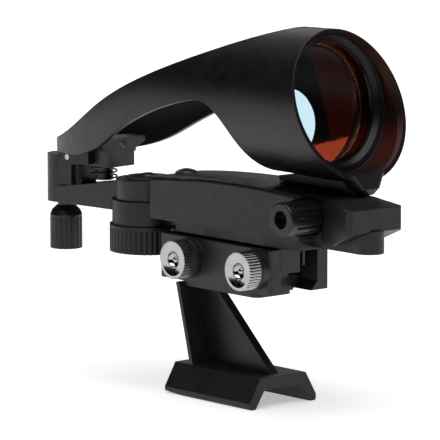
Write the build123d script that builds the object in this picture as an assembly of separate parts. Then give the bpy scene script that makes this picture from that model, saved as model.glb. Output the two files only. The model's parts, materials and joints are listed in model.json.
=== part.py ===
from build123d import *
import math
import os

# Red dot finder on its pedestal bracket, in millimetres.
# Origin: centre of the foot's underside. +X is the way the finder points, +Y its left, +Z up.
# The swing lever and everything that it carries are drawn in the lever's own frame, straight
# along X, and then turned about the vertical pivot by REST_YAW, the azimuth it is stored at.

# ---------------------------------------------------------------- driving dimensions
GAP = 0.1                        # running gap between parts that move on each other

FOOT_LENGTH = 43.0
FOOT_HEIGHT = 10.0
FOOT_HALF_TOP = 10.0
FOOT_HALF_BOTTOM = 14.6
FOOT_LIP = 2.2                   # upright edge at the foot's bottom
FOOT_CEILING = 6.0               # height of the open channel under the foot
NECK_TOP = 36.6
PLATE_TOP = 38.4
RAIL_TOP = 43.0
RAIL_HALF_LENGTH = 21.2
RAIL_WAIST = 4.6                 # half width under the rail's 45 degree flanks
RAIL_HEAD = 7.7                  # half width of the rail's head

CLAMP_REAR = -26.2
CLAMP_FRONT = 29.3
CLAMP_TOP = 54.4
JAW_BOTTOM = 38.7
JAW_TOP = 53.5
JAW_INNER = 8.0
NEAR_FACE = -12.7                # outer face of the movable jaw
FAR_FACE = 13.4                  # outer face of the fixed jaw
SCREW_Z = 46.8
SCREW_X = (-10.2, 22.5)          # rear and front thumbscrew
STUD_R = 1.95
STUD_END = 0.0                   # inner end of the stud
INSERT_R = 2.6
CLAMP_SCREW_X = (-21.5, 6.0)     # screws up into the bottom cover
CLAMP_SCREW_Y = -2.0
HEAD_R = 6.4
HEAD_OUT = -20.9                 # outer end of the thumbscrew's head
BOSS_OUT = -15.4                 # outer face of the bosses on the jaw

HOUSE_REAR = -31.9
HOUSE_FRONT = 66.0
HOUSE_HALF = 12.1
HOUSE_BOTTOM = 57.7
HOUSE_CROWN_X = 13.0
HOUSE_CROWN_Z = 74.0
HOUSE_REAR_Z = 71.8
NOSE_TOP_Z = 70.2
NOSE_CHIN_X = 54.5               # where the nose's underside starts to rise
NOSE_CHIN_Z = 62.6               # its height at the front face
WALL = 2.2

PIVOT_X = -47.3                  # vertical pivot of the swing lever and of the dial
REAR_BOSS_R = 12.3
REAR_BOSS_BOTTOM = 53.3
REAR_BOSS_TOP = 61.6
SPIGOT_R = 5.0
SPIGOT_TOP = 68.6
COLLAR_R = 11.0
DIAL_R = 13.2
DIAL_BOTTOM = 43.9
CELL_R = 10.0
CELL_THICK = 3.2

REST_YAW = 5.5                   # degrees that the arm stands to the left when stored
LEVER_HALF = 6.4
LEVER_BOTTOM = 57.2
ALT_SCREW_X = -87.3
LEVER_POST_TOP = 73.7
HINGE_X = -77.5
HINGE_Z = 73.9
SPRING_X = -68.5
SPRING_R = 4.4
WIRE_R = 0.3
KNOB_R = 5.6
ALT_KNOB_BOTTOM = 40.6
ALT_KNOB_TOP = 55.6

AZ_X = 42.1                      # azimuth screw, in the base's frame
AZ_Z = 65.8
AZ_NUT_X = 42.5                  # the same place in the lever's frame
AZ_KNOB_R = 5.6
AZ_KNOB_OUT = -19.8
AZ_KNOB_IN = -4.9
AZ_RECESS_FLOOR = -4.4
AZ_RECESS_R = 6.1
AZ_CUP_IN = -3.0

HOOD_HALF = 24.2                 # half width of the hood where it is widest behind the rim
HOOD_TALL = 23.8
HOOD_AXIS_Z = 100.7
TAIL_START = -22.0               # behind this the hood tapers
TAIL_TIP = -88.6
HOOD_WALL = 2.2
FLOOR_Z = 77.2                   # underside of the tail's floor
FLOOR_THICK = 2.0
FLOOR_FRONT = -67.2              # front edge of the tail's floor
RIM_CENTRE = (44.0, 100.9)
RIM_R = 25.85
RIM_TILT = 19.2
LIP_THICK = 0.7                  # the rim's lip at its front edge
LENS_CENTRE = (36.0, 101.2)
LENS_TILT = 10.0
LENS_R = 20.0
LENS_FRONT = 0.0                 # the front face's crown, along the lens's axis
LENS_REAR = -3.2                 # the rear face's crown
RING_FRONT = 1.9                 # front of the retaining ring, along the lens's axis
RING_INNER_R = 19.6
LENS_CURVE_R = 150.0
BORE_R = 22.2
LED_FRONT = -59.6
LED_Z = 79.0
LED_ANGLE = 13.0
LED_TOP = 81.2


# ---------------------------------------------------------------- helpers
def box(x0, x1, y0, y1, z0, z1):
    return Pos((x0 + x1) / 2, (y0 + y1) / 2, (z0 + z1) / 2) * Box(x1 - x0, y1 - y0, z1 - z0)


def rod_z(x, y, z0, z1, r):
    return Pos(x, y, (z0 + z1) / 2) * Cylinder(r, z1 - z0)


def rod_y(x, z, y0, y1, r):
    return Pos(x, (y0 + y1) / 2, z) * Rot(90, 0, 0) * Cylinder(r, y1 - y0)


def cone_z(x, y, z0, z1, r0, r1):
    return Pos(x, y, (z0 + z1) / 2) * Cone(r0, r1, z1 - z0)


def side_prism(outline, y0, y1):
    """A closed outline of (x, z) points, or a wire's face, drawn through from y0 to y1."""
    face = outline if isinstance(outline, (Face, Sketch)) else make_face(Polyline(*outline, close=True))
    plane = Plane((0, y1, 0), x_dir=(1, 0, 0), z_dir=(0, -1, 0))
    return extrude(plane * face, y1 - y0)


def end_prism(outline, x0, x1):
    """A closed outline of (y, z) points drawn through from x0 to x1."""
    plane = Plane((x0, 0, 0), x_dir=(0, 1, 0), z_dir=(1, 0, 0))
    return extrude(plane * make_face(Polyline(*outline, close=True)), x1 - x0)


def fluted(body, count, place):
    """Cut the tool that place(angle) gives out of the body, count times round."""
    tools = [place(360.0 * i / count) for i in range(count)]
    return body - tools


def swung(shape):
    """From the lever's own frame to the base's frame."""
    return Pos(PIVOT_X, 0, 0) * Rot(0, 0, REST_YAW) * Pos(-PIVOT_X, 0, 0) * shape


def solid_of(shape):
    """The single largest solid of a boolean result."""
    return max(shape.solids(), key=lambda s: s.volume)


def write(name, shape):
    export_step(shape, "parts/" + name + ".step")


# ---------------------------------------------------------------- pedestal bracket
def pedestal_bracket():
    half = FOOT_LENGTH / 2
    inner_bottom = 12.0
    inner_top = 8.2
    outline = [
        (-FOOT_HALF_BOTTOM, 0), (-FOOT_HALF_BOTTOM, FOOT_LIP), (-FOOT_HALF_TOP, FOOT_HEIGHT),
        (FOOT_HALF_TOP, FOOT_HEIGHT), (FOOT_HALF_BOTTOM, FOOT_LIP), (FOOT_HALF_BOTTOM, 0),
        (inner_bottom, 0), (inner_top, FOOT_CEILING), (-inner_top, FOOT_CEILING), (-inner_bottom, 0),
    ]
    foot = end_prism(outline, -half, half)
    long_edges = foot.edges().filter_by(Axis.X)
    foot = fillet([e for e in long_edges if e.center().Z < FOOT_LIP + 0.1
                   and abs(e.center().Y) > FOOT_HALF_BOTTOM - 0.1], 0.8)
    lead_in = side_prism([(-half - 1, -1), (-half - 1, 0.9), (-half + 9, 0), (-half + 9, -1)], -20, 20)
    foot -= lead_in

    web_half = 1.2
    flange_thick = 1.6
    rear_low, rear_high = -13.8, -21.2
    front_low, front_high = 17.4, -11.8
    web = side_prism([(rear_low, FOOT_HEIGHT - 1), (front_low + 1, FOOT_HEIGHT - 1),
                      (front_low, FOOT_HEIGHT), (front_high, NECK_TOP + 0.5), (rear_high, NECK_TOP + 0.5)],
                     -web_half, web_half)
    flange = side_prism([(rear_low, FOOT_HEIGHT - 1), (rear_low + flange_thick, FOOT_HEIGHT - 1),
                         (rear_high + flange_thick, NECK_TOP + 0.5), (rear_high, NECK_TOP + 0.5)],
                        -FOOT_HALF_TOP, FOOT_HALF_TOP)
    bead_deep = 2.4
    bead = side_prism([(front_low - bead_deep, FOOT_HEIGHT - 1), (front_low + 1, FOOT_HEIGHT - 1),
                       (front_low, FOOT_HEIGHT), (front_high, NECK_TOP + 0.5),
                       (front_high - bead_deep, NECK_TOP + 0.5)],
                      -web_half - 0.4, web_half + 0.4)

    plate = box(-RAIL_HALF_LENGTH, 17.5, -8.2, 8.2, NECK_TOP - 0.6, PLATE_TOP)
    plate = fillet(plate.edges().filter_by(Axis.Z), 3.0)
    head_low = PLATE_TOP - 0.4
    flank_top = PLATE_TOP + RAIL_HEAD - RAIL_WAIST
    head = end_prism([
        (-RAIL_WAIST, head_low), (-RAIL_WAIST, PLATE_TOP), (-RAIL_HEAD, flank_top),
        (-RAIL_HEAD, RAIL_TOP - 0.6), (-RAIL_HEAD + 0.6, RAIL_TOP), (RAIL_HEAD - 0.6, RAIL_TOP),
        (RAIL_HEAD, RAIL_TOP - 0.6), (RAIL_HEAD, flank_top), (RAIL_WAIST, PLATE_TOP), (RAIL_WAIST, head_low),
    ], -RAIL_HALF_LENGTH, RAIL_HALF_LENGTH)
    return solid_of(foot + web + flange + bead + plate + head)


# ---------------------------------------------------------------- clamp
def lip_outline(side, outer, top):
    """Section of a jaw with its 45 degree lip under the rail's head; side is -1 near or 1 far."""
    lip_y = RAIL_WAIST + (JAW_BOTTOM - PLATE_TOP) + 1.5 * GAP
    lip_top = JAW_BOTTOM + JAW_INNER - lip_y
    return [(side * lip_y, JAW_BOTTOM), (side * outer, JAW_BOTTOM), (side * outer, top),
            (side * JAW_INNER, top), (side * JAW_INNER, lip_top)]


def clamp_base():
    ceiling = RAIL_TOP + GAP
    bridge_top = 48.2
    bridge_front = 20.0
    block = box(CLAMP_REAR, CLAMP_FRONT, -7.8, 0.2, ceiling, CLAMP_TOP)
    block += box(CLAMP_REAR + 1, bridge_front, 0, 3.0, ceiling, CLAMP_TOP)
    block += box(bridge_front - 1, CLAMP_FRONT, 1.5, 2.4, 47.5, 52.4)
    bridge = box(CLAMP_REAR, bridge_front, -7.8, 9.0, ceiling, bridge_top)
    jaw = end_prism(lip_outline(1, FAR_FACE, 52.0), CLAMP_REAR, CLAMP_FRONT)
    jaw = chamfer(jaw.edges().filter_by(Axis.Z).filter_by(lambda e: e.center().Y > FAR_FACE - 0.1), 1.0)
    rebate = box(CLAMP_FRONT - 5.5, CLAMP_FRONT + 1, -9, JAW_INNER, ceiling - 1, 45.4)
    shape = block + bridge + jaw - rebate
    for x in SCREW_X:
        shape -= rod_y(x, SCREW_Z, -8, -1.8, INSERT_R)
        shape -= rod_y(x, SCREW_Z, -2, STUD_END + 1.0, STUD_R + 0.15)
    for x in CLAMP_SCREW_X:
        shape -= rod_z(x, CLAMP_SCREW_Y, ceiling - 1, ceiling + 2.1, 2.8)
        shape -= rod_z(x, CLAMP_SCREW_Y, ceiling, CLAMP_TOP + 1, 1.5)
    return solid_of(shape)


def clamp_screws():
    ceiling = RAIL_TOP + GAP
    screws = []
    for x in CLAMP_SCREW_X:
        head = rod_z(x, CLAMP_SCREW_Y, ceiling + 0.2, ceiling + 2.1, 2.7) - rod_z(
            x, CLAMP_SCREW_Y, ceiling, ceiling + 1.2, 1.2)
        screws.append(solid_of(head + rod_z(x, CLAMP_SCREW_Y, ceiling + 2.0, CLAMP_TOP + 2.6, 1.5)))
    return Compound(screws)


def clamp_jaw():
    jaw = end_prism(lip_outline(-1, -NEAR_FACE, JAW_TOP), CLAMP_REAR, CLAMP_FRONT)
    outer_edges = jaw.edges().filter_by(Axis.Z).filter_by(lambda e: e.center().Y < NEAR_FACE + 0.1)
    jaw = fillet(outer_edges, 1.2)
    for x in SCREW_X:
        jaw += rod_y(x, SCREW_Z, BOSS_OUT, NEAR_FACE + 0.5, 6.6)
    for x in SCREW_X:
        jaw -= rod_y(x, SCREW_Z, BOSS_OUT - 1, -JAW_INNER + 1, STUD_R + 0.2)
    return solid_of(jaw)


def clamp_inserts():
    rings = []
    for x in SCREW_X:
        ring = rod_y(x, SCREW_Z, -7.75, -1.8, INSERT_R) - rod_y(x, SCREW_Z, -8, -1, STUD_R + 0.05)
        rings.append(solid_of(ring))
    return Compound(rings)


def thumbscrew(x):
    head_in = BOSS_OUT - 0.15
    knurl_r = 0.42
    head = rod_y(x, SCREW_Z, HEAD_OUT, head_in, HEAD_R)
    head = fluted(head, 40, lambda a: rod_y(x + (HEAD_R + 0.12) * math.cos(math.radians(a)),
                                            SCREW_Z + (HEAD_R + 0.12) * math.sin(math.radians(a)),
                                            HEAD_OUT - 1, head_in + 1, knurl_r))
    dish_ball = 24.0
    dish_deep = 0.6
    head -= Pos(x, HEAD_OUT + dish_deep - dish_ball, SCREW_Z) * Sphere(dish_ball)
    head -= Pos(x, HEAD_OUT - 0.4, SCREW_Z) * Sphere(3.0)
    head += Pos(x, HEAD_OUT + 2.0, SCREW_Z) * Sphere(1.3)
    return solid_of(head + rod_y(x, SCREW_Z, head_in - 0.5, STUD_END, STUD_R))


# ---------------------------------------------------------------- base housing
def crown_face(drop, x0, x1, z0):
    """Side outline between z0 and the crown line lowered by drop, from x0 to x1."""
    def crown(x):
        rise_rear = (HOUSE_CROWN_Z - HOUSE_REAR_Z) / (HOUSE_CROWN_X - HOUSE_REAR)
        rise_front = (NOSE_TOP_Z - HOUSE_CROWN_Z) / (HOUSE_FRONT - HOUSE_CROWN_X)
        bend = (rise_front - rise_rear) / (HOUSE_FRONT - HOUSE_REAR)
        past_rear = x - HOUSE_REAR
        return HOUSE_REAR_Z + rise_rear * past_rear + bend * past_rear * (x - HOUSE_CROWN_X) - drop
    middle = (x0 + x1) / 2
    top = ThreePointArc((x0, crown(x0)), (middle, crown(middle)), (x1, crown(x1)))
    sides = Polyline((x1, crown(x1)), (x1, z0), (x0, z0), (x0, crown(x0)))
    return make_face([top, sides])


def base_housing():
    body = side_prism(crown_face(0, HOUSE_REAR, HOUSE_FRONT, HOUSE_BOTTOM), -HOUSE_HALF, HOUSE_HALF)
    body = chamfer(body.edges().filter_by(Axis.Z).filter_by(lambda e: e.center().X > 60), 1.5)
    body = fillet(body.edges().filter_by(lambda e: e.center().Z > 70 and abs(e.center().Y) > HOUSE_HALF - 0.1
                                         and e.length > 60), 1.4)
    chin = side_prism([(NOSE_CHIN_X, HOUSE_BOTTOM - 1), (NOSE_CHIN_X, HOUSE_BOTTOM),
                       (HOUSE_FRONT + 1, NOSE_CHIN_Z + 0.5), (HOUSE_FRONT + 1, HOUSE_BOTTOM - 1)], -20, 20)
    body -= chin
    cavity = side_prism(crown_face(WALL, HOUSE_REAR + WALL, 47.8, HOUSE_BOTTOM - 0.1), -9.9, 10.9)
    cavity -= box(33.0, 60.0, -HOUSE_HALF, AZ_CUP_IN, HOUSE_BOTTOM - 1, HOUSE_CROWN_Z)
    for y in COVER_SCREW_Y:
        cavity -= rod_z(COVER_SCREW_X, y, 50, 80, 1.9)
    body -= cavity
    relief = [(AZ_X, -HOUSE_HALF - 1), (AZ_X, -6.0), (46.5, -6.0),
              (HOUSE_FRONT - 1.6, -HOUSE_HALF), (HOUSE_FRONT - 1.6, -HOUSE_HALF - 1)]
    body -= extrude(Pos(0, 0, HOUSE_BOTTOM - 1) * make_face(Polyline(*relief, close=True)), 20)
    body -= rod_y(AZ_X, AZ_Z, -HOUSE_HALF - 1, AZ_RECESS_FLOOR, AZ_RECESS_R)
    body -= rod_y(AZ_X, AZ_Z, AZ_RECESS_FLOOR - 1, AZ_CUP_IN + 1, 3.2)
    body -= rod_y(AZ_X, AZ_Z, 10, 11.5, 2.05)
    body -= box(HOUSE_REAR - 1, HOUSE_REAR + WALL + 1, -9.9, 9.9, 61.8, 67.6)
    body -= tongue_shape(GAP, 2.0)
    rear = rod_z(PIVOT_X, 0, REAR_BOSS_BOTTOM, REAR_BOSS_TOP, REAR_BOSS_R)
    rear += box(PIVOT_X, HOUSE_REAR + 1.5, -8, 8, HOUSE_BOTTOM, REAR_BOSS_TOP)
    rear += rod_z(PIVOT_X, 0, REAR_BOSS_TOP - 1, SPIGOT_TOP, SPIGOT_R)
    rear -= rod_z(PIVOT_X, 0, REAR_BOSS_BOTTOM - 1, 56.6, 10.45)
    rear -= rod_z(PIVOT_X, 0, 59.0, SPIGOT_TOP + 1, 1.5)
    body += rear
    for y in COVER_SCREW_Y:
        body -= rod_z(COVER_SCREW_X, y, HOUSE_BOTTOM - 1, 66.0, 1.0)
    body -= rod_z(TONGUE_END_X, 0, HOUSE_BOTTOM, 66.0, 1.25)
    body -= rod_z(PLUG_X, 0, 69, 80, 2.0)
    body -= rod_z(PLUG_X, 0, PLUG_FLOOR, 80, 4.0)
    return solid_of(body)


PLUG_X = -27.2
PLUG_FLOOR = 71.4                # recess in the housing's roof that the plug sits in
COVER_SCREW_X = -17.0
COVER_SCREW_Y = (-8.4, 8.4)
COVER_BOTTOM = 54.4
TONGUE_END_X = 62.4
TONGUE_HALF = 4.9
TONGUE_BOTTOM = 55.5
TONGUE_TOP = 60.0


def tongue_shape(grow, drop):
    """The round-ended tongue of the bottom cover; grow widens it and drop lowers its bottom."""
    half = TONGUE_HALF + grow
    low = TONGUE_BOTTOM - drop
    slab_top = TONGUE_TOP + grow
    shape = box(36, TONGUE_END_X, -half, half, low, slab_top) + rod_z(TONGUE_END_X, 0, low, slab_top, half)
    slope = (NOSE_CHIN_Z + 0.5 - HOUSE_BOTTOM) / (HOUSE_FRONT + 1 - NOSE_CHIN_X)
    start = NOSE_CHIN_X + 1
    under_chin = HOUSE_BOTTOM + slope - GAP
    past_end = TONGUE_END_X + 5
    wedge = side_prism([(start, low), (start, under_chin), (past_end, under_chin + slope * (past_end - start)),
                        (past_end, low)], -half, half)
    wedge &= box(start, TONGUE_END_X, -half, half, low, 70) + rod_z(TONGUE_END_X, 0, low, 70, half)
    return shape + wedge


def bottom_cover():
    slab = box(-21.2, 40, -10.9, 10.9, COVER_BOTTOM, HOUSE_BOTTOM)
    slab = fillet(slab.edges().filter_by(Axis.Z), 2.0)
    shape = slab + tongue_shape(0, 0)
    for y in COVER_SCREW_Y:
        shape -= rod_z(COVER_SCREW_X, y, COVER_BOTTOM - 1, HOUSE_BOTTOM + 1, 1.2)
        shape -= rod_z(COVER_SCREW_X, y, COVER_BOTTOM - 1, COVER_BOTTOM + 1.6, 2.1)
    shape -= rod_z(TONGUE_END_X, 0, TONGUE_BOTTOM - 1, TONGUE_TOP + 4, 1.45)
    shape -= rod_z(TONGUE_END_X, 0, TONGUE_BOTTOM - 1, TONGUE_BOTTOM + 1.8, 2.6)
    for x in CLAMP_SCREW_X:
        shape -= rod_z(x, CLAMP_SCREW_Y, COVER_BOTTOM - 1, COVER_BOTTOM + 2.7, 1.5)
    return solid_of(shape)


def cover_screws():
    screws = []
    for y in COVER_SCREW_Y:
        screws.append(rod_z(COVER_SCREW_X, y, COVER_BOTTOM + 0.2, COVER_BOTTOM + 1.6, 2.0)
                      + rod_z(COVER_SCREW_X, y, COVER_BOTTOM + 1.5, 65.5, 1.0))
    screws.append(rod_z(TONGUE_END_X, 0, TONGUE_BOTTOM + 0.3, TONGUE_BOTTOM + 1.8, 2.5)
                  + rod_z(TONGUE_END_X, 0, TONGUE_BOTTOM + 1.7, 65.5, 1.25)
                  - rod_z(TONGUE_END_X, 0, TONGUE_BOTTOM, TONGUE_BOTTOM + 1.2, 1.0))
    return Compound([solid_of(s) for s in screws])


def cover_plug():
    cap = Pos(PLUG_X, 0, 67.0) * Sphere(6.9) & rod_z(PLUG_X, 0, PLUG_FLOOR, 75, 3.9)
    return solid_of(cap + rod_z(PLUG_X, 0, PLUG_FLOOR - 1.3, PLUG_FLOOR + 0.5, 1.95))


def pivot_washer():
    return solid_of(rod_z(PIVOT_X, 0, SPIGOT_TOP, SPIGOT_TOP + 0.7, 7.5)
                    - rod_z(PIVOT_X, 0, SPIGOT_TOP - 1, SPIGOT_TOP + 1, 1.5))


def pivot_screw():
    head_z = SPIGOT_TOP + 0.7
    head = Pos(PIVOT_X, 0, head_z - 5.6) * Sphere(6.8) & rod_z(PIVOT_X, 0, head_z, head_z + 3, 3.4)
    slot = box(PIVOT_X - 2.0, PIVOT_X + 2.0, -0.35, 0.35, head_z + 0.5, head_z + 3)
    slot += box(PIVOT_X - 0.35, PIVOT_X + 0.35, -2.0, 2.0, head_z + 0.5, head_z + 3)
    return solid_of(head + rod_z(PIVOT_X, 0, 59.2, head_z + 0.5, 1.5) - slot)


# ---------------------------------------------------------------- brightness dial and battery
def brightness_dial():
    top = REAR_BOSS_BOTTOM - GAP
    drum = rod_z(PIVOT_X, 0, DIAL_BOTTOM, top, DIAL_R)
    rib_top = top - 1.2
    drum = fluted(drum, 44, lambda a: rod_z(PIVOT_X + (DIAL_R + 0.15) * math.cos(math.radians(a)),
                                            (DIAL_R + 0.15) * math.sin(math.radians(a)),
                                            DIAL_BOTTOM - 1, rib_top, 0.5))
    drum += rod_z(PIVOT_X, 0, top - 1, 54.7, 10.4)
    drum -= rod_z(PIVOT_X, 0, DIAL_BOTTOM - 1, DIAL_BOTTOM + 2.1, 11.0)
    drum -= rod_z(PIVOT_X, 0, DIAL_BOTTOM, 49.6, CELL_R + 0.3)
    drum -= rod_z(PIVOT_X, 0, 49, 55, 4.5)
    return solid_of(drum)


def battery_cap():
    cap = rod_z(PIVOT_X, 0, DIAL_BOTTOM, DIAL_BOTTOM + 2.0, 10.95)
    slot = box(PIVOT_X - 7.0, PIVOT_X + 7.0, -0.9, 0.9, DIAL_BOTTOM - 1, DIAL_BOTTOM + 0.9)
    return solid_of(cap - slot)


def coin_cell():
    low = DIAL_BOTTOM + 2.05
    return solid_of(rod_z(PIVOT_X, 0, low, low + 0.8, CELL_R - 0.7)
                    + rod_z(PIVOT_X, 0, low + 0.8, low + CELL_THICK, CELL_R))


def cell_contact():
    cell_top = DIAL_BOTTOM + 2.05 + CELL_THICK
    foot = box(PIVOT_X - 2.6, PIVOT_X + 1.5, -1.2, 1.2, 55.2, 55.6)
    leg = box(PIVOT_X - 2.6, PIVOT_X - 2.2, -1.2, 1.2, cell_top + 0.15, 55.4)
    toe = box(PIVOT_X - 2.6, PIVOT_X + 1.5, -1.2, 1.2, cell_top + 0.15, cell_top + 0.5)
    return solid_of(foot + leg + toe)


def switch_board():
    return rod_z(PIVOT_X, 0, 55.6, 56.6, 10.3)


def dial_wiper():
    ring = rod_z(PIVOT_X, 0, 54.7, 54.95, 8.0) - rod_z(PIVOT_X, 0, 54, 56, 6.0)
    fingers = [Pos(PIVOT_X, 0, 0) * Rot(0, 0, a) * box(6.4, 7.6, -0.6, 0.6, 54.9, 55.45) for a in (0, 120, 240)]
    shape = ring
    for finger in fingers:
        shape += finger
    return solid_of(shape)


# ---------------------------------------------------------------- swing lever (azimuth)
def swing_lever():
    collar = rod_z(PIVOT_X, 0, REAR_BOSS_TOP + GAP, SPIGOT_TOP - 0.05, COLLAR_R)
    bar = side_prism([(ALT_SCREW_X, LEVER_BOTTOM), (PIVOT_X - 6, LEVER_BOTTOM), (PIVOT_X - 6, 67.1),
                      (-57.0, 67.1), (-83.6, 63.0), (ALT_SCREW_X, 63.0)], -LEVER_HALF, LEVER_HALF)
    bar -= rod_z(PIVOT_X, 0, LEVER_BOTTOM - 1, REAR_BOSS_TOP + GAP, REAR_BOSS_R + 0.5)
    post = rod_z(ALT_SCREW_X, 0, LEVER_BOTTOM, LEVER_POST_TOP, LEVER_HALF)
    post -= box(-83.6, -75, -10, 10, 63.0, 80)
    knuckle = rod_y(HINGE_X, HINGE_Z, -LEVER_HALF, LEVER_HALF, 2.7)
    knuckle += box(-84.2, HINGE_X, -LEVER_HALF, LEVER_HALF, HINGE_Z - 2.7, LEVER_POST_TOP)
    knuckle += box(-80.0, -75.8, -3.4, 3.4, 62.0, HINGE_Z - 2.0)
    half_rear, half_front = 3.5, 1.6
    tongue_plan = make_face(Polyline((PIVOT_X + 9, -half_rear), (36.5, -half_front), (36.5, half_front),
                                     (PIVOT_X + 9, half_rear), close=True))
    tongue = extrude(Pos(0, 0, 62.0) * tongue_plan, 3.6)
    end_plate = box(36.0, 46.6, -half_front, half_front, 61.2, 69.6)
    shape = collar + bar + post + knuckle + tongue + end_plate
    shape -= rod_z(PIVOT_X, 0, 60, 70, SPIGOT_R + 0.05)
    shape -= rod_z(ALT_SCREW_X, 0, LEVER_BOTTOM - 1, 62.0, 3.2)
    shape -= rod_z(ALT_SCREW_X, 0, 61, LEVER_POST_TOP + 1, 2.1)
    shape -= rod_y(HINGE_X, HINGE_Z, -10, 10, 1.05)
    shape -= rod_y(AZ_NUT_X, AZ_Z, -5, 5, 3.3)
    return swung(solid_of(shape))


def azimuth_nut():
    return swung(solid_of(rod_y(AZ_NUT_X, AZ_Z, -1.6, 1.6, 3.3) - rod_y(AZ_NUT_X, AZ_Z, -2, 2, 2.75)))


def altitude_bush():
    return swung(solid_of(rod_z(ALT_SCREW_X, 0, LEVER_BOTTOM, 62.0, 3.2)
                          - rod_z(ALT_SCREW_X, 0, LEVER_BOTTOM - 1, 63, 2.04)))


def altitude_screw():
    tip_r = 2.0
    screw = rod_z(ALT_SCREW_X, 0, 44.5, 74.9, tip_r) + cone_z(ALT_SCREW_X, 0, 74.9, 75.55, tip_r, 1.2)
    return swung(solid_of(screw))


def altitude_knob():
    dome_low = 52.4
    body = rod_z(ALT_SCREW_X, 0, ALT_KNOB_BOTTOM, dome_low, KNOB_R)
    body = fluted(body, 18, lambda a: rod_z(ALT_SCREW_X + (KNOB_R + 0.25) * math.cos(math.radians(a)),
                                            (KNOB_R + 0.25) * math.sin(math.radians(a)),
                                            ALT_KNOB_BOTTOM - 1, dome_low - 0.8, 0.6))
    shoulder = (dome_low + ALT_KNOB_TOP) / 2
    body += cone_z(ALT_SCREW_X, 0, dome_low, shoulder, KNOB_R, 4.9)
    body += cone_z(ALT_SCREW_X, 0, shoulder, ALT_KNOB_TOP, 4.9, 3.2)
    body += rod_z(ALT_SCREW_X, 0, ALT_KNOB_TOP - 0.2, LEVER_BOTTOM - GAP, 2.9)
    body -= rod_z(ALT_SCREW_X, 0, 43.5, 60, 2.1)
    body -= rod_z(ALT_SCREW_X, 0, 43.5, 51.0, 3.2)
    return swung(solid_of(body))


def altitude_knob_nut():
    return swung(solid_of(rod_z(ALT_SCREW_X, 0, 44.6, 51.0, 3.2)
                          - rod_z(ALT_SCREW_X, 0, 44, 52, 2.04)))


def altitude_spring():
    """Open coil spring round the light housing's post."""
    low = 67.0
    high = 70.9
    turns = 2
    path = Helix(pitch=(high - low) / turns, height=high - low, radius=SPRING_R)
    start = path @ 0
    section = Plane(origin=start, z_dir=path % 0) * Circle(WIRE_R)
    coil = sweep(section, path=path, is_frenet=True)
    return swung(Pos(SPRING_X, 0, low) * coil)


# ---------------------------------------------------------------- hood arm
def tail_fraction(x):
    """0 where the hood starts to taper, 1 at the tail's tip."""
    return min(max((TAIL_START - x) / (TAIL_START - TAIL_TIP), 0.0), 1.0)


def rim_flare(x):
    """0 along the tube, 1 at the rim."""
    t = min(max((x - 8.0) / 48.0, 0.0), 1.0)
    return t * t * (3 - 2 * t)


def hood_half(x):
    """Half width of the hood's outside in plan."""
    return (HOOD_HALF + 2.1 * rim_flare(x)) * (1 - tail_fraction(x) ** 1.6) ** 0.526


def hood_centre_z(x):
    return HOOD_AXIS_Z - 24.0 * tail_fraction(x) ** 1.2


def hood_tall(x):
    """Half height of the full oval that the hood is cut from."""
    return HOOD_TALL + 0.9 * rim_flare(x)


def hood_loft(inset, stations):
    sections = []
    for x in stations:
        plane = Plane((x, 0, hood_centre_z(x)), x_dir=(0, 1, 0), z_dir=(1, 0, 0))
        sections.append(plane * Ellipse(hood_half(x) - inset, hood_tall(x) - inset))
    return loft(sections)


def tilted(x, z, tilt):
    """A plane across the hood whose normal points forward and up by tilt degrees."""
    a = math.radians(tilt)
    return Plane((x, 0, z), x_dir=(0, 1, 0), z_dir=(math.cos(a), 0, math.sin(a)))


def above_top_edge():
    """Everything over the open trough's top edge, which ends at the closed tube."""
    edge = Spline((-95, 78.6), (-88, 79.3), (-72, 84.0), (-49.4, 96.5), (-26.7, 106.8), (1.5, 117.6),
                  (16.0, 122.7), (30.0, 127.0))
    rest = Polyline((30.0, 127.0), (30.0, 140), (-95, 140), (-95, 78.6))
    return side_prism(make_face([edge, rest]), -40, 40)


def below_bottom_edge():
    """Everything under the tail, under the arch and behind the closed tube's floor."""
    arch = Spline((-70.0, 75.7), (-62.0, 77.3), (-53.0, 80.6), (-44.8, 85.3), (-24.3, 94.9), (-6.0, 100.2))
    crest = ThreePointArc((-6.0, 100.2), (2.2, 100.0), (6.6, 97.0))
    fall = Spline((6.6, 97.0), (12.6, 88.0), (15.8, 79.5), (19.6, 72.0))
    rest = Polyline((19.6, 72.0), (19.6, 50), (-95, 50), (-95, 75.7), (-70.0, 75.7))
    return side_prism(make_face([arch, crest, fall, rest]), -40, 40)


def rim_flare_space():
    """The open funnel from the lens ring out to the rim's thin lip."""
    a = math.radians(LENS_TILT)
    low = RING_FRONT - 0.2
    inner = tilted(LENS_CENTRE[0] + low * math.cos(a), LENS_CENTRE[1] + low * math.sin(a), LENS_TILT)
    b = math.radians(RIM_TILT)
    out = 6.0
    spread = RIM_R - LIP_THICK - BORE_R
    reach = 8.0
    outer = tilted(RIM_CENTRE[0] + out * math.cos(b), RIM_CENTRE[1] + out * math.sin(b), RIM_TILT)
    return loft([inner * Circle(BORE_R - 0.1), outer * Circle(RIM_R - LIP_THICK + spread * out / reach)])


def foot_pad():
    """The rounded foot under the rim, just clear of the base housing's roof."""
    bottom = Plane((0, 0, 72.3)) * Pos(51.4, 0) * RectangleRounded(3.6, 5.0, 1.6)
    middle = Plane((0, 0, 74.2)) * Pos(50.7, 0) * RectangleRounded(6.0, 11.0, 2.6)
    top = Plane((0, 0, 79.0)) * Pos(48.6, 0) * RectangleRounded(8.0, 19.0, 3.4)
    return loft([bottom, middle, top], ruled=True)


def keel():
    """The rib under the closed tube, whose lower edge follows the housing's crown."""
    half = 5.0
    rear, front = 18.0, 50.0
    under = ThreePointArc((rear, 74.3), (35.0, 73.6), (front, 72.5))
    rest = Polyline((front, 72.5), (front, 79.5), (rear - 1.5, 79.5), (rear, 74.3))
    return side_prism(make_face([under, rest]), -half, half)


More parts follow.
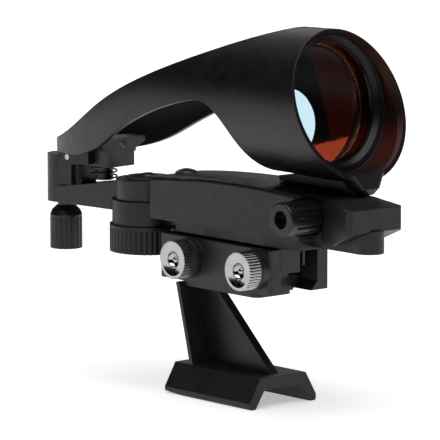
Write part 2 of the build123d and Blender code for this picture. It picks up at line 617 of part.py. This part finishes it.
def hood_shell():
    outer = hood_loft(0, (58, 44, 28, 10, -8, -26, -42, -56, -68, -78, -84.5, -88))
    inner = hood_loft(HOOD_WALL, (58, 44, 28, 10, -8, -26, -42, -56, -68, -78, -84.5))
    shell = outer - inner
    lens_plane = tilted(*LENS_CENTRE, LENS_TILT)
    seat_rear = SEAT_FRONT - SEAT_DEEP
    bore_front = RING_FRONT + 0.3
    bore = lens_plane * Pos(0, 0, (SEAT_FRONT + bore_front) / 2) * Cylinder(BORE_R, bore_front - SEAT_FRONT)
    seat = outer & (lens_plane * Pos(0, 0, (seat_rear + RING_FRONT) / 2) * Cylinder(60, RING_FRONT - seat_rear))
    seat -= bore
    seat -= lens_plane * Cylinder(18.4, 60)
    shell -= bore
    seat -= rim_flare_space()
    shell -= rim_flare_space()
    shell += seat
    rim_plane = tilted(*RIM_CENTRE, RIM_TILT)
    shell -= rim_plane * Pos(0, 0, 30) * Cylinder(80, 60)
    shell -= above_top_edge()
    floor = outer & box(-95, FLOOR_FRONT, -30, 30, FLOOR_Z, FLOOR_Z + FLOOR_THICK)
    outer_column = box(-95, 0, -30, 30, 50, FLOOR_Z + 1)
    shell -= below_bottom_edge()
    shape = shell + floor
    for side in (-1, 1):
        y0, y1 = sorted((side * 6.6, side * 9.0))
        cheek = rod_y(HINGE_X, HINGE_Z, y0, y1, 3.0)
        cheek += side_prism([(HINGE_X - 3.0, HINGE_Z), (HINGE_X - 3.0, FLOOR_Z + 1), (FLOOR_FRONT, FLOOR_Z + 1),
                             (FLOOR_FRONT, 72.2), (-73.5, 71.8), (HINGE_X, HINGE_Z - 3.0)], y0, y1)
        if side < 0:
            cheek += box(HINGE_X - 4.0, HINGE_X + 2.0, y0, y1, 64.3, HINGE_Z)
        shape += cheek & outer_column
    shape += rod_z(ALT_SCREW_X, 0, 75.65, FLOOR_Z + 1, 2.4)
    shape += (foot_pad() + keel()) - (lens_plane * Cylinder(BORE_R, 60)) - inner
    shape -= rod_y(HINGE_X, HINGE_Z, -12, 12, 1.0)
    return swung(solid_of(shape))


def hinge_pin():
    return swung(rod_y(HINGE_X, HINGE_Z, -9.1, 9.1, 1.0))


def lens():
    """A thick meniscus: both faces bulge forward by the same curve."""
    ball = Sphere(LENS_CURVE_R)
    disc = Cylinder(LENS_R, 20) & Pos(0, 0, LENS_FRONT - LENS_CURVE_R) * ball
    disc -= Pos(0, 0, LENS_REAR - LENS_CURVE_R) * ball
    return swung(tilted(*LENS_CENTRE, LENS_TILT) * solid_of(disc))


LENS_SAG = LENS_R ** 2 / (2 * LENS_CURVE_R)
LENS_EDGE_FRONT = LENS_FRONT - LENS_SAG
LENS_EDGE_REAR = LENS_REAR - LENS_SAG - 0.02
SEAT_FRONT = LENS_EDGE_REAR - 0.6
SEAT_DEEP = 2.4


def lens_ring():
    """Black retaining ring in front of the lens, with a stepped, flared inside."""
    low = LENS_EDGE_FRONT + 0.26
    step = 0.4
    ring = Pos(0, 0, (low + RING_FRONT) / 2) * Cylinder(BORE_R - 0.05, RING_FRONT - low)
    ring -= Cylinder(RING_INNER_R, 20)
    ring -= Pos(0, 0, step + 5) * Cylinder(RING_INNER_R + 0.5, 10)
    ring -= Pos(0, 0, (step + RING_FRONT) / 2) * Cone(RING_INNER_R + 0.5, BORE_R - 0.6, RING_FRONT - step)
    return swung(solid_of(tilted(*LENS_CENTRE, LENS_TILT) * ring))


def lens_spacer():
    """Thin bare ring that the lens's rear edge sits on."""
    ring = Pos(0, 0, (SEAT_FRONT + LENS_EDGE_REAR) / 2) * Cylinder(21.0, LENS_EDGE_REAR - SEAT_FRONT)
    ring -= Cylinder(19.3, 30)
    return swung(solid_of(tilted(*LENS_CENTRE, LENS_TILT) * ring))


def led_axis(distance):
    """A plane across the light's axis, this far in front of the light housing's face."""
    a = math.radians(LED_ANGLE)
    return Plane((LED_FRONT + distance * math.cos(a), 0, LED_Z + distance * math.sin(a)),
                 x_dir=(0, 1, 0), z_dir=(math.cos(a), 0, math.sin(a)))


def led_housing():
    body = box(-71.5, LED_FRONT, -6.5, 6.5, 71.4, FLOOR_Z)
    body = chamfer(body.edges().filter_by(Axis.Z), 0.8)
    low_half, high_half = 6.5, 11.2
    wing_z = FLOOR_Z + 2.2
    front_block = [(-low_half, FLOOR_Z - 1), (-low_half, FLOOR_Z), (-high_half, wing_z), (-high_half, LED_TOP),
                   (high_half, LED_TOP), (high_half, wing_z), (low_half, FLOOR_Z), (low_half, FLOOR_Z - 1)]
    body += end_prism(front_block, FLOOR_FRONT + 0.1, LED_FRONT)
    body += rod_z(SPRING_X, 0, 66.2, 72, 3.1)
    body -= led_axis(0) * Pos(0, 0, -2) * Cylinder(1.75, 9)
    for y in LED_SCREW_Y:
        body -= rod_z(LED_SCREW_X, y, 70, 80, 0.8)
        body -= rod_z(LED_SCREW_X, y, 70, LED_SCREW_HEAD + 0.9, 1.65)
    return swung(solid_of(body))


LED_SCREW_X = -69.4
LED_SCREW_Y = (-4.4, 4.4)
LED_SCREW_HEAD = 71.5            # underside of the sunk screw heads


def led_screws():
    screws = [rod_z(LED_SCREW_X, y, LED_SCREW_HEAD, LED_SCREW_HEAD + 0.9, 1.6)
              + rod_z(LED_SCREW_X, y, LED_SCREW_HEAD + 0.8, FLOOR_Z, 0.8)
              for y in LED_SCREW_Y]
    return swung(Compound([solid_of(s) for s in screws]))


def led():
    body = Pos(0, 0, -4.2) * Cylinder(1.7, 3.4) + Pos(0, 0, -2.5) * Sphere(1.5)
    return swung(solid_of(led_axis(0) * body))


def reticle_window():
    return swung(led_axis(0) * Pos(0, 0, -0.6) * Cylinder(1.7, 0.6))


# ---------------------------------------------------------------- azimuth drive
def azimuth_knob():
    body = rod_y(AZ_X, AZ_Z, AZ_KNOB_OUT, AZ_KNOB_IN, AZ_KNOB_R)
    body = fluted(body, 14, lambda a: rod_y(AZ_X + (AZ_KNOB_R + 0.45) * math.cos(math.radians(a)),
                                            AZ_Z + (AZ_KNOB_R + 0.45) * math.sin(math.radians(a)),
                                            AZ_KNOB_OUT + 3.0, AZ_KNOB_IN + 1, 0.9))
    ends = body.edges().filter_by(GeomType.CIRCLE).filter_by(lambda e: e.center().Y < AZ_KNOB_OUT + 0.1)
    body = fillet(ends, 0.6)
    body -= rod_y(AZ_X, AZ_Z, AZ_KNOB_OUT - 1, AZ_KNOB_OUT + 3.4, 3.0)
    body -= rod_y(AZ_X, AZ_Z, AZ_KNOB_OUT + 6.0, AZ_KNOB_IN + 1, 2.0)
    return solid_of(body)


def azimuth_screw():
    return rod_y(AZ_X, AZ_Z, AZ_KNOB_OUT + 6.0, 11.3, 2.0)


def azimuth_bush():
    return solid_of(rod_y(AZ_X, AZ_Z, AZ_RECESS_FLOOR, AZ_CUP_IN, 3.2)
                    - rod_y(AZ_X, AZ_Z, AZ_RECESS_FLOOR - 1, AZ_CUP_IN + 1, 2.04))


# ---------------------------------------------------------------- all the pieces
PIECES = {
    "pedestal_bracket": pedestal_bracket,
    "clamp_base": clamp_base,
    "clamp_inserts": clamp_inserts,
    "clamp_screws": clamp_screws,
    "clamp_jaw": clamp_jaw,
    "thumbscrew_rear": lambda: thumbscrew(SCREW_X[0]),
    "thumbscrew_front": lambda: thumbscrew(SCREW_X[1]),
    "base_housing": base_housing,
    "bottom_cover": bottom_cover,
    "cover_screws": cover_screws,
    "cover_plug": cover_plug,
    "pivot_washer": pivot_washer,
    "pivot_screw": pivot_screw,
    "brightness_dial": brightness_dial,
    "battery_cap": battery_cap,
    "coin_cell": coin_cell,
    "cell_contact": cell_contact,
    "switch_board": switch_board,
    "dial_wiper": dial_wiper,
    "swing_lever": swing_lever,
    "azimuth_nut": azimuth_nut,
    "altitude_bush": altitude_bush,
    "altitude_screw": altitude_screw,
    "altitude_knob": altitude_knob,
    "altitude_knob_nut": altitude_knob_nut,
    "altitude_spring": altitude_spring,
    "hood_shell": hood_shell,
    "hinge_pin": hinge_pin,
    "lens": lens,
    "lens_ring": lens_ring,
    "lens_spacer": lens_spacer,
    "led_housing": led_housing,
    "led_screws": led_screws,
    "led": led,
    "reticle_window": reticle_window,
    "azimuth_knob": azimuth_knob,
    "azimuth_screw": azimuth_screw,
    "azimuth_bush": azimuth_bush,
}

os.makedirs("parts", exist_ok=True)
for name, make in PIECES.items():
    write(name, make())
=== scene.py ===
import json
import math

import bpy
from mathutils import Matrix, Vector


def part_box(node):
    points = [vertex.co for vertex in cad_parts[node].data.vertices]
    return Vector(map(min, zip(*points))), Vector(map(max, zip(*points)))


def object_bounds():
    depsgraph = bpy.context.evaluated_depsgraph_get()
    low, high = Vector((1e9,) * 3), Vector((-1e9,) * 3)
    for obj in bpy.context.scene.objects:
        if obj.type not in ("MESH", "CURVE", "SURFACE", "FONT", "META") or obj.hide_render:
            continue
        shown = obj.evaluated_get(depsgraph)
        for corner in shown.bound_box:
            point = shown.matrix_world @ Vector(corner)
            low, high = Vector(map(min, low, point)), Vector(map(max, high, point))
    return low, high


# Red dot finder: materials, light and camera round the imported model. Every visible shape is the
# model's own, so no piece is added or replaced.
# All lengths are in metres in the model's frame.

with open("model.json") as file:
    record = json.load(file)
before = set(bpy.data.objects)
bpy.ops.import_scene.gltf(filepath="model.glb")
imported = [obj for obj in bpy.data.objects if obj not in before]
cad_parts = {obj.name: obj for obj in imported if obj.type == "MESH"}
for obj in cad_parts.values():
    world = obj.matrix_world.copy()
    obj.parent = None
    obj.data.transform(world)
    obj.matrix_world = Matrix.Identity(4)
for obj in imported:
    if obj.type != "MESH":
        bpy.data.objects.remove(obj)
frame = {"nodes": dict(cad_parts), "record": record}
nodes = frame["nodes"]
cad_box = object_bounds()

# ---------------------------------------------------------------- where things are
LENS_AXIS_TILT = math.radians(10.0)
ARM_YAW = math.radians(5.5)      # how far the arm is turned to the finder's left at rest


def turned(x, y, z, yaw):
    return Vector((x * math.cos(yaw) - y * math.sin(yaw), x * math.sin(yaw) + y * math.cos(yaw), z))


LENS_NORMAL = turned(math.cos(LENS_AXIS_TILT), 0.0, math.sin(LENS_AXIS_TILT), ARM_YAW)
CENTRE = (Vector(cad_box[0]) + Vector(cad_box[1])) / 2
TUBE_REAR_X = -0.020             # where the closed tube gives way to the open trough
LENS_REAR_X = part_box("lens")[0][0]
MILLIMETRES = 1000.0             # turns object coordinates into millimetres for the textures


# ---------------------------------------------------------------- materials
def new_material(name):
    material = bpy.data.materials.new(name)
    material.use_nodes = True
    tree = material.node_tree
    shader = tree.nodes["Principled BSDF"]
    return material, tree, shader


def object_coordinates(tree, scale=1.0):
    coordinates = tree.nodes.new("ShaderNodeTexCoord")
    mapping = tree.nodes.new("ShaderNodeMapping")
    mapping.inputs["Scale"].default_value = (scale, scale, scale)
    tree.links.new(coordinates.outputs["Object"], mapping.inputs["Vector"])
    return mapping.outputs["Vector"]


def noise(tree, vector, scale, detail=3.0, roughness=0.55):
    node = tree.nodes.new("ShaderNodeTexNoise")
    node.inputs["Scale"].default_value = scale
    node.inputs["Detail"].default_value = detail
    node.inputs["Roughness"].default_value = roughness
    tree.links.new(vector, node.inputs["Vector"])
    return node.outputs["Fac"]


def ramp(tree, value, stops):
    """A colour ramp through (position, colour) stops."""
    node = tree.nodes.new("ShaderNodeValToRGB")
    elements = node.color_ramp.elements
    while len(elements) < len(stops):
        elements.new(0.5)
    for element, (position, colour) in zip(elements, stops):
        element.position = position
        element.color = (*colour, 1.0)
    tree.links.new(value, node.inputs["Fac"])
    return node.outputs["Color"]


def remap(tree, value, low, high, from_low=0.0, from_high=1.0):
    node = tree.nodes.new("ShaderNodeMapRange")
    node.inputs["From Min"].default_value = from_low
    node.inputs["From Max"].default_value = from_high
    node.inputs["To Min"].default_value = low
    node.inputs["To Max"].default_value = high
    tree.links.new(value, node.inputs["Value"])
    return node.outputs["Result"]


def combine(tree, operation, first, second):
    node = tree.nodes.new("ShaderNodeMath")
    node.operation = operation
    tree.links.new(first, node.inputs[0])
    tree.links.new(second, node.inputs[1])
    return node.outputs["Value"]


def multiply(tree, first, second):
    return combine(tree, "MULTIPLY", first, second)


def bump(tree, height, strength, distance, normal=None):
    node = tree.nodes.new("ShaderNodeBump")
    node.inputs["Strength"].default_value = strength
    node.inputs["Distance"].default_value = distance
    tree.links.new(height, node.inputs["Height"])
    if normal is not None:
        tree.links.new(normal, node.inputs["Normal"])
    return node.outputs["Normal"]


def rounded(tree, radius):
    """Normals that turn smoothly over an edge, as on a moulded or turned edge, and where they do."""
    bevel = tree.nodes.new("ShaderNodeBevel")
    bevel.samples = 6
    bevel.inputs["Radius"].default_value = radius
    geometry = tree.nodes.new("ShaderNodeNewGeometry")
    turn = tree.nodes.new("ShaderNodeVectorMath")
    turn.operation = "DOT_PRODUCT"
    tree.links.new(bevel.outputs["Normal"], turn.inputs[0])
    tree.links.new(geometry.outputs["Normal"], turn.inputs[1])
    edge = remap(tree, turn.outputs["Value"], 1.0, 0.0, 0.80, 0.985)
    return bevel.outputs["Normal"], edge


def edge_wear(tree, base, worn, edge, cloud, amount):
    """Mixes base towards worn along the edges, broken up by the noise in cloud."""
    broken = multiply(tree, edge, remap(tree, cloud, 0.0, amount, 0.40, 0.62))
    mix = tree.nodes.new("ShaderNodeMix")
    mix.data_type = "RGBA"
    tree.links.new(broken, mix.inputs["Factor"])
    tree.links.new(base, mix.inputs[6])
    mix.inputs[7].default_value = (*worn, 1.0)
    return mix.outputs[2]


def moulded_plastic(name, dark, light, rough_low, rough_high, grain, grain_depth,
                    edge_radius=0.00035, specular=0.5):
    """Black injection-moulded plastic with a spark-eroded grain."""
    material, tree, shader = new_material(name)
    vector = object_coordinates(tree, MILLIMETRES)
    cloud = noise(tree, vector, 0.06, 4.0)
    fine = noise(tree, vector, grain, 3.0, 0.6)
    patchy = noise(tree, vector, 0.25, 5.0, 0.65)
    normal, edge = rounded(tree, edge_radius)
    colour = ramp(tree, cloud, [(0.3, dark), (0.7, light)])
    colour = edge_wear(tree, colour, tuple(3.0 * c for c in light), edge, patchy, 0.7)
    tree.links.new(colour, shader.inputs["Base Color"])
    tree.links.new(remap(tree, patchy, rough_low, rough_high, 0.3, 0.7), shader.inputs["Roughness"])
    tree.links.new(bump(tree, fine, 0.6, grain_depth, normal), shader.inputs["Normal"])
    shader.inputs["Specular IOR Level"].default_value = specular
    return material


def above(tree, value, threshold):
    node = tree.nodes.new("ShaderNodeMath")
    node.operation = "GREATER_THAN"
    node.inputs[1].default_value = threshold
    tree.links.new(value, node.inputs[0])
    return node.outputs["Value"]


def axes(tree, vector):
    node = tree.nodes.new("ShaderNodeSeparateXYZ")
    tree.links.new(vector, node.inputs["Vector"])
    return node.outputs


def tube_inside(material, start, end, axis_y):
    """The tube's far inner wall: matt from start to end, and forward of end a reddish gloss.

    The gloss stands in for the lens's own red reflection on the flare in front of it.
    """
    tree = material.node_tree
    shader = tree.nodes["Principled BSDF"]
    coordinates = tree.nodes.new("ShaderNodeTexCoord")
    place = axes(tree, coordinates.outputs["Object"])
    facing = axes(tree, coordinates.outputs["Normal"])
    far_side = above(tree, place["Y"], axis_y)
    inward = multiply(tree, far_side, remap(tree, facing["Y"], 1.0, 0.0, -0.5, 0.0))
    inside = multiply(tree, above(tree, place["X"], start), inward)
    flare = multiply(tree, above(tree, place["X"], end), inward)
    matt = remap(tree, inside, 0.5, 0.15)
    shine = combine(tree, "ADD", matt, remap(tree, flare, 0.0, 0.5))
    tree.links.new(shine, shader.inputs["Specular IOR Level"])
    # Painted reflection: forward of the lens the specular turns red, standing in for the lens's red
    # reflection on the flare.
    tint = ramp(tree, flare, [(0.0, (1.0, 1.0, 1.0)), (1.0, (1.0, 0.42, 0.32))])
    tree.links.new(tint, shader.inputs["Specular Tint"])


def metal(name, colour, rough_low, rough_high, brushed, depth):
    """Machined or plated metal with fine turning marks."""
    material, tree, shader = new_material(name)
    vector = object_coordinates(tree, MILLIMETRES)
    marks = noise(tree, vector, brushed, 2.0)
    cloud = noise(tree, vector, 0.3, 4.0)
    normal, edge = rounded(tree, 0.00015)
    tint = ramp(tree, cloud, [(0.35, tuple(0.88 * c for c in colour)), (0.65, colour)])
    tint = edge_wear(tree, tint, tuple(min(1.0, 1.15 * c) for c in colour), edge, cloud, 0.8)
    tree.links.new(tint, shader.inputs["Base Color"])
    tree.links.new(remap(tree, marks, rough_low, rough_high, 0.3, 0.7), shader.inputs["Roughness"])
    tree.links.new(bump(tree, marks, 0.2, depth, normal), shader.inputs["Normal"])
    shader.inputs["Metallic"].default_value = 1.0
    return material


def smooth_resin(name, colour, roughness, transmission=0.0):
    material, tree, shader = new_material(name)
    vector = object_coordinates(tree, MILLIMETRES)
    cloud = noise(tree, vector, 0.8, 3.0)
    tint = ramp(tree, cloud, [(0.3, tuple(0.85 * c for c in colour)), (0.7, colour)])
    tree.links.new(tint, shader.inputs["Base Color"])
    tree.links.new(remap(tree, cloud, roughness * 0.8, roughness * 1.2), shader.inputs["Roughness"])
    tree.links.new(bump(tree, cloud, 0.05, 0.00002), shader.inputs["Normal"])
    shader.inputs["Transmission Weight"].default_value = transmission
    return material


def faces(tree, direction, low, high):
    """1 where the surface's outside faces the direction (in the object's own frame), 0 elsewhere."""
    coordinates = tree.nodes.new("ShaderNodeTexCoord")
    dot = tree.nodes.new("ShaderNodeVectorMath")
    dot.operation = "DOT_PRODUCT"
    dot.inputs[1].default_value = direction
    tree.links.new(coordinates.outputs["Normal"], dot.inputs[0])
    return remap(tree, dot.outputs["Value"], 0.0, 1.0, low, high)


def mix_shaders(tree, amount, first, second):
    node = tree.nodes.new("ShaderNodeMixShader")
    tree.links.new(amount, node.inputs["Fac"])
    tree.links.new(first, node.inputs[1])
    tree.links.new(second, node.inputs[2])
    return node.outputs[0]


def coated_glass(name):
    """Coated glass: cyan to look through, an orange-red mirror in front, a dark ground edge."""
    material, tree, shader = new_material(name)
    output = tree.nodes["Material Output"]
    vector = object_coordinates(tree, MILLIMETRES)
    cloud = noise(tree, vector, 0.035, 2.0)
    through = tree.nodes.new("ShaderNodeBsdfTransparent")
    tree.links.new(ramp(tree, cloud, [(0.3, (0.67, 0.81, 0.855)), (0.7, (0.71, 0.83, 0.875))]),
                   through.inputs["Color"])
    mirror = tree.nodes.new("ShaderNodeBsdfGlossy")
    tree.links.new(ramp(tree, cloud, [(0.3, (0.24, 0.030, 0.012)), (0.7, (0.28, 0.036, 0.015))]),
                   mirror.inputs["Color"])
    tree.links.new(remap(tree, cloud, 0.02, 0.05), mirror.inputs["Roughness"])
    coated = tree.nodes.new("ShaderNodeAddShader")
    tree.links.new(through.outputs[0], coated.inputs[0])
    tree.links.new(mirror.outputs[0], coated.inputs[1])
    geometry = tree.nodes.new("ShaderNodeNewGeometry")
    outside = remap(tree, geometry.outputs["Backfacing"], 1.0, 0.0)
    front = multiply(tree, faces(tree, LENS_NORMAL, 0.3, 0.5), outside)
    back = multiply(tree, faces(tree, -LENS_NORMAL, 0.3, 0.5), outside)
    shader.inputs["Base Color"].default_value = (0.03, 0.006, 0.004, 1.0)
    shader.inputs["Roughness"].default_value = 0.3
    edge = mix_shaders(tree, outside, through.outputs[0], shader.outputs[0])
    rear = mix_shaders(tree, back, edge, through.outputs[0])
    whole = mix_shaders(tree, front, rear, coated.outputs[0])
    tree.links.new(whole, output.inputs["Surface"])
    return material


BLACK = moulded_plastic("satin_black_plastic", (0.0030, 0.0030, 0.0033), (0.0048, 0.0048, 0.0051),
                        0.36, 0.50, 1.6, 0.00004)
HOOD = moulded_plastic("hood_black_plastic", (0.0018, 0.0018, 0.0020), (0.0030, 0.0030, 0.0032),
                       0.34, 0.46, 1.4, 0.00006)
# A lighter copy of the black plastic: painted light for the mouldings that sit in shade.
PAINTED_LIGHT_BLACK = moulded_plastic("black_plastic_with_painted_light", (0.0110, 0.0110, 0.0115), (0.0150, 0.0150, 0.0155),
                       0.34, 0.46, 1.6, 0.00004)
TRIM = moulded_plastic("trim_black_plastic", (0.0050, 0.0050, 0.0054), (0.0075, 0.0075, 0.0080),
                       0.28, 0.38, 2.4, 0.00002, 0.0002)
# The hood's far inner wall: a matt zone, and on the flare a painted red reflection.
tube_inside(HOOD, TUBE_REAR_X, LENS_REAR_X, CENTRE.y)
RING = moulded_plastic("anodised_black_ring", (0.0015, 0.0015, 0.0017), (0.0025, 0.0025, 0.0028),
                       0.30, 0.38, 3.0, 0.00001, 0.0001, 0.25)
CHROME = metal("polished_chrome", (0.50, 0.51, 0.52), 0.05, 0.14, 0.8, 0.00001)
STEEL = metal("machined_steel", (0.55, 0.55, 0.56), 0.22, 0.36, 1.5, 0.00002)
DARK_STEEL = metal("blackened_steel", (0.10, 0.10, 0.105), 0.25, 0.40, 1.5, 0.00002)
BRASS = metal("machined_brass", (0.74, 0.55, 0.26), 0.22, 0.36, 1.5, 0.00002)
BOARD = smooth_resin("green_solder_mask", (0.03, 0.16, 0.07), 0.35)
LIGHT = smooth_resin("red_emitter_resin", (0.55, 0.03, 0.02), 0.12, 0.5)
CLEAR = smooth_resin("clear_window", (0.92, 0.94, 0.95), 0.05, 0.9)
COATED = coated_glass("coated_lens_glass")

SLOT_MATERIAL = {
    "black_plastic": BLACK,
    "black_trim": TRIM,
    "ring_black": RING,
    "dark_steel": DARK_STEEL,
    "chrome": CHROME,
    "steel": STEEL,
    "brass": BRASS,
    "board": BOARD,
    "red_emitter": LIGHT,
    "clear_glass": CLEAR,
    "coated_glass": COATED,
}


# Mouldings given a lighter copy of the black plastic: painted light, brightening parts that sit in
# shade.
NODE_MATERIAL = {
    "hood_shell": HOOD,
    "pedestal_bracket": PAINTED_LIGHT_BLACK,
    "clamp_base": PAINTED_LIGHT_BLACK,
    "clamp_jaw": PAINTED_LIGHT_BLACK,
    "swing_lever": PAINTED_LIGHT_BLACK,
}


def paint(obj, material):
    obj.data.materials.clear()
    obj.data.materials.append(material)


def paint_cad_nodes():
    for part in frame["record"]["subparts"]:
        paint(nodes[part["node"]], SLOT_MATERIAL[part["material_slot"]])
    for name, material in NODE_MATERIAL.items():
        paint(nodes[name], material)


paint_cad_nodes()


# ---------------------------------------------------------------- camera
SENSOR = 36.0
PICTURE = 440.0
FOCAL_PIXELS = 4000.0
CAMERA_AZIMUTH = math.radians(49.0)
CAMERA_ELEVATION = math.radians(8.3)
CAMERA_DISTANCE = 1.3333
AIM_RIGHT = -0.006667
AIM_UP = 0.05867


def make_camera():
    a, e = CAMERA_AZIMUTH, CAMERA_ELEVATION
    right = Vector((math.cos(a), math.sin(a), 0.0))
    up = Vector((-math.sin(a) * math.sin(e), math.cos(a) * math.sin(e), math.cos(e)))
    back = Vector((math.sin(a) * math.cos(e), -math.cos(a) * math.cos(e), math.sin(e)))
    data = bpy.data.cameras.new("camera")
    data.sensor_width = SENSOR
    data.lens = SENSOR * FOCAL_PIXELS / PICTURE
    data.clip_start = 0.05
    data.clip_end = 50.0
    camera = bpy.data.objects.new("camera", data)
    place = right * AIM_RIGHT + up * AIM_UP + back * CAMERA_DISTANCE
    camera.matrix_world = Matrix((
        (right.x, up.x, back.x, place.x),
        (right.y, up.y, back.y, place.y),
        (right.z, up.z, back.z, place.z),
        (0.0, 0.0, 0.0, 1.0),
    ))
    bpy.context.scene.collection.objects.link(camera)
    bpy.context.scene.camera = camera


# ---------------------------------------------------------------- stage and light
FLOOR_HALF_SIZE = 30.0
FLOOR_DROP = 0.00002             # keeps the floor from lying in the foot's own plane
FLOOR_GLOW = 0.25                # how strongly the floor lights the object
FLOOR_GLOW_SEEN = 0.45           # how strongly it glows in the picture itself
CARD_DISTANCE = 1.2
SUN_STRENGTH = 2.8
SUN_SPREAD = 70.0                # degrees, wide enough to leave only soft shadows


def make_floor():
    size = FLOOR_HALF_SIZE
    mesh = bpy.data.meshes.new("floor")
    corners = [(-size, -size, 0.0), (size, -size, 0.0), (size, size, 0.0), (-size, size, 0.0)]
    mesh.from_pydata(corners, [], [(0, 1, 2, 3)])
    floor = bpy.data.objects.new("floor", mesh)
    floor.location.z = -FLOOR_DROP
    bpy.context.scene.collection.objects.link(floor)
    material, tree, shader = new_material("pale_floor")
    vector = object_coordinates(tree, 1.0)
    cloud = noise(tree, vector, 3.0)
    tree.links.new(ramp(tree, cloud, [(0.3, (0.93, 0.93, 0.93)), (0.7, (0.95, 0.95, 0.95))]),
                   shader.inputs["Base Color"])
    path = tree.nodes.new("ShaderNodeLightPath")
    tree.links.new(remap(tree, path.outputs["Is Camera Ray"], FLOOR_GLOW, FLOOR_GLOW_SEEN),
                   shader.inputs["Emission Strength"])
    shader.inputs["Roughness"].default_value = 0.7
    shader.inputs["Specular IOR Level"].default_value = 0.1
    shader.inputs["Emission Color"].default_value = (1.0, 1.0, 1.0, 1.0)
    paint(floor, material)


def make_world():
    """White behind the object, and a dark studio round it for everything that it mirrors."""
    world = bpy.data.worlds.new("studio")
    world.use_nodes = True
    tree = world.node_tree
    room = tree.nodes["Background"]
    room.inputs["Color"].default_value = (0.004, 0.004, 0.0044, 1.0)
    backdrop = tree.nodes.new("ShaderNodeBackground")
    backdrop.inputs["Color"].default_value = (1.0, 1.0, 1.0, 1.0)
    path = tree.nodes.new("ShaderNodeLightPath")
    mix = tree.nodes.new("ShaderNodeMixShader")
    tree.links.new(path.outputs["Is Camera Ray"], mix.inputs["Fac"])
    tree.links.new(room.outputs[0], mix.inputs[1])
    tree.links.new(backdrop.outputs[0], mix.inputs[2])
    tree.links.new(mix.outputs[0], tree.nodes["World Output"].inputs["Surface"])
    bpy.context.scene.world = world


def sun_light(name, direction, strength, spread):
    data = bpy.data.lights.new(name, "SUN")
    data.energy = strength
    data.angle = math.radians(spread)
    light = bpy.data.objects.new(name, data)
    light.rotation_mode = "QUATERNION"
    light.rotation_quaternion = Vector(direction).to_track_quat("-Z", "Y")
    bpy.context.scene.collection.objects.link(light)


def make_card(name, azimuth, elevation, width, height, colour):
    """A glowing card, out of the camera's sight, that only glossy surfaces mirror.

    Azimuth counts from +X towards +Y; all four angles are in degrees, seen from the object.
    """
    a, e = math.radians(azimuth), math.radians(elevation)
    towards = Vector((math.cos(a) * math.cos(e), math.sin(a) * math.cos(e), math.sin(e)))
    w = CARD_DISTANCE * math.tan(math.radians(width) / 2)
    h = CARD_DISTANCE * math.tan(math.radians(height) / 2)
    mesh = bpy.data.meshes.new(name)
    mesh.from_pydata([(-w, -h, 0.0), (w, -h, 0.0), (w, h, 0.0), (-w, h, 0.0)], [], [(0, 1, 2, 3)])
    card = bpy.data.objects.new(name, mesh)
    card.location = CENTRE + CARD_DISTANCE * towards
    card.rotation_mode = "QUATERNION"
    card.rotation_quaternion = towards.to_track_quat("Z", "Y")
    card.visible_camera = False
    card.visible_diffuse = False
    card.visible_shadow = False
    card.visible_transmission = False
    bpy.context.scene.collection.objects.link(card)
    material, tree, shader = new_material(name)
    shader.inputs["Base Color"].default_value = (0.0, 0.0, 0.0, 1.0)
    shader.inputs["Specular IOR Level"].default_value = 0.0
    shader.inputs["Emission Color"].default_value = (*colour, 1.0)
    shader.inputs["Emission Strength"].default_value = 1.0
    paint(card, material)


make_camera()
make_floor()
make_world()
sun_light("overhead", (-0.15, 0.1, -1.0), SUN_STRENGTH, SUN_SPREAD)
make_card("hood_highlight", 150.0, 27.0, 34.0, 18.0, (1.1, 1.1, 1.1))
make_card("lens_reflection", 62.0, 16.0, 26.0, 30.0, (0.045, 0.040, 0.035))

bpy.context.scene.view_settings.view_transform = "Standard"
bpy.context.scene.view_settings.look = "None"
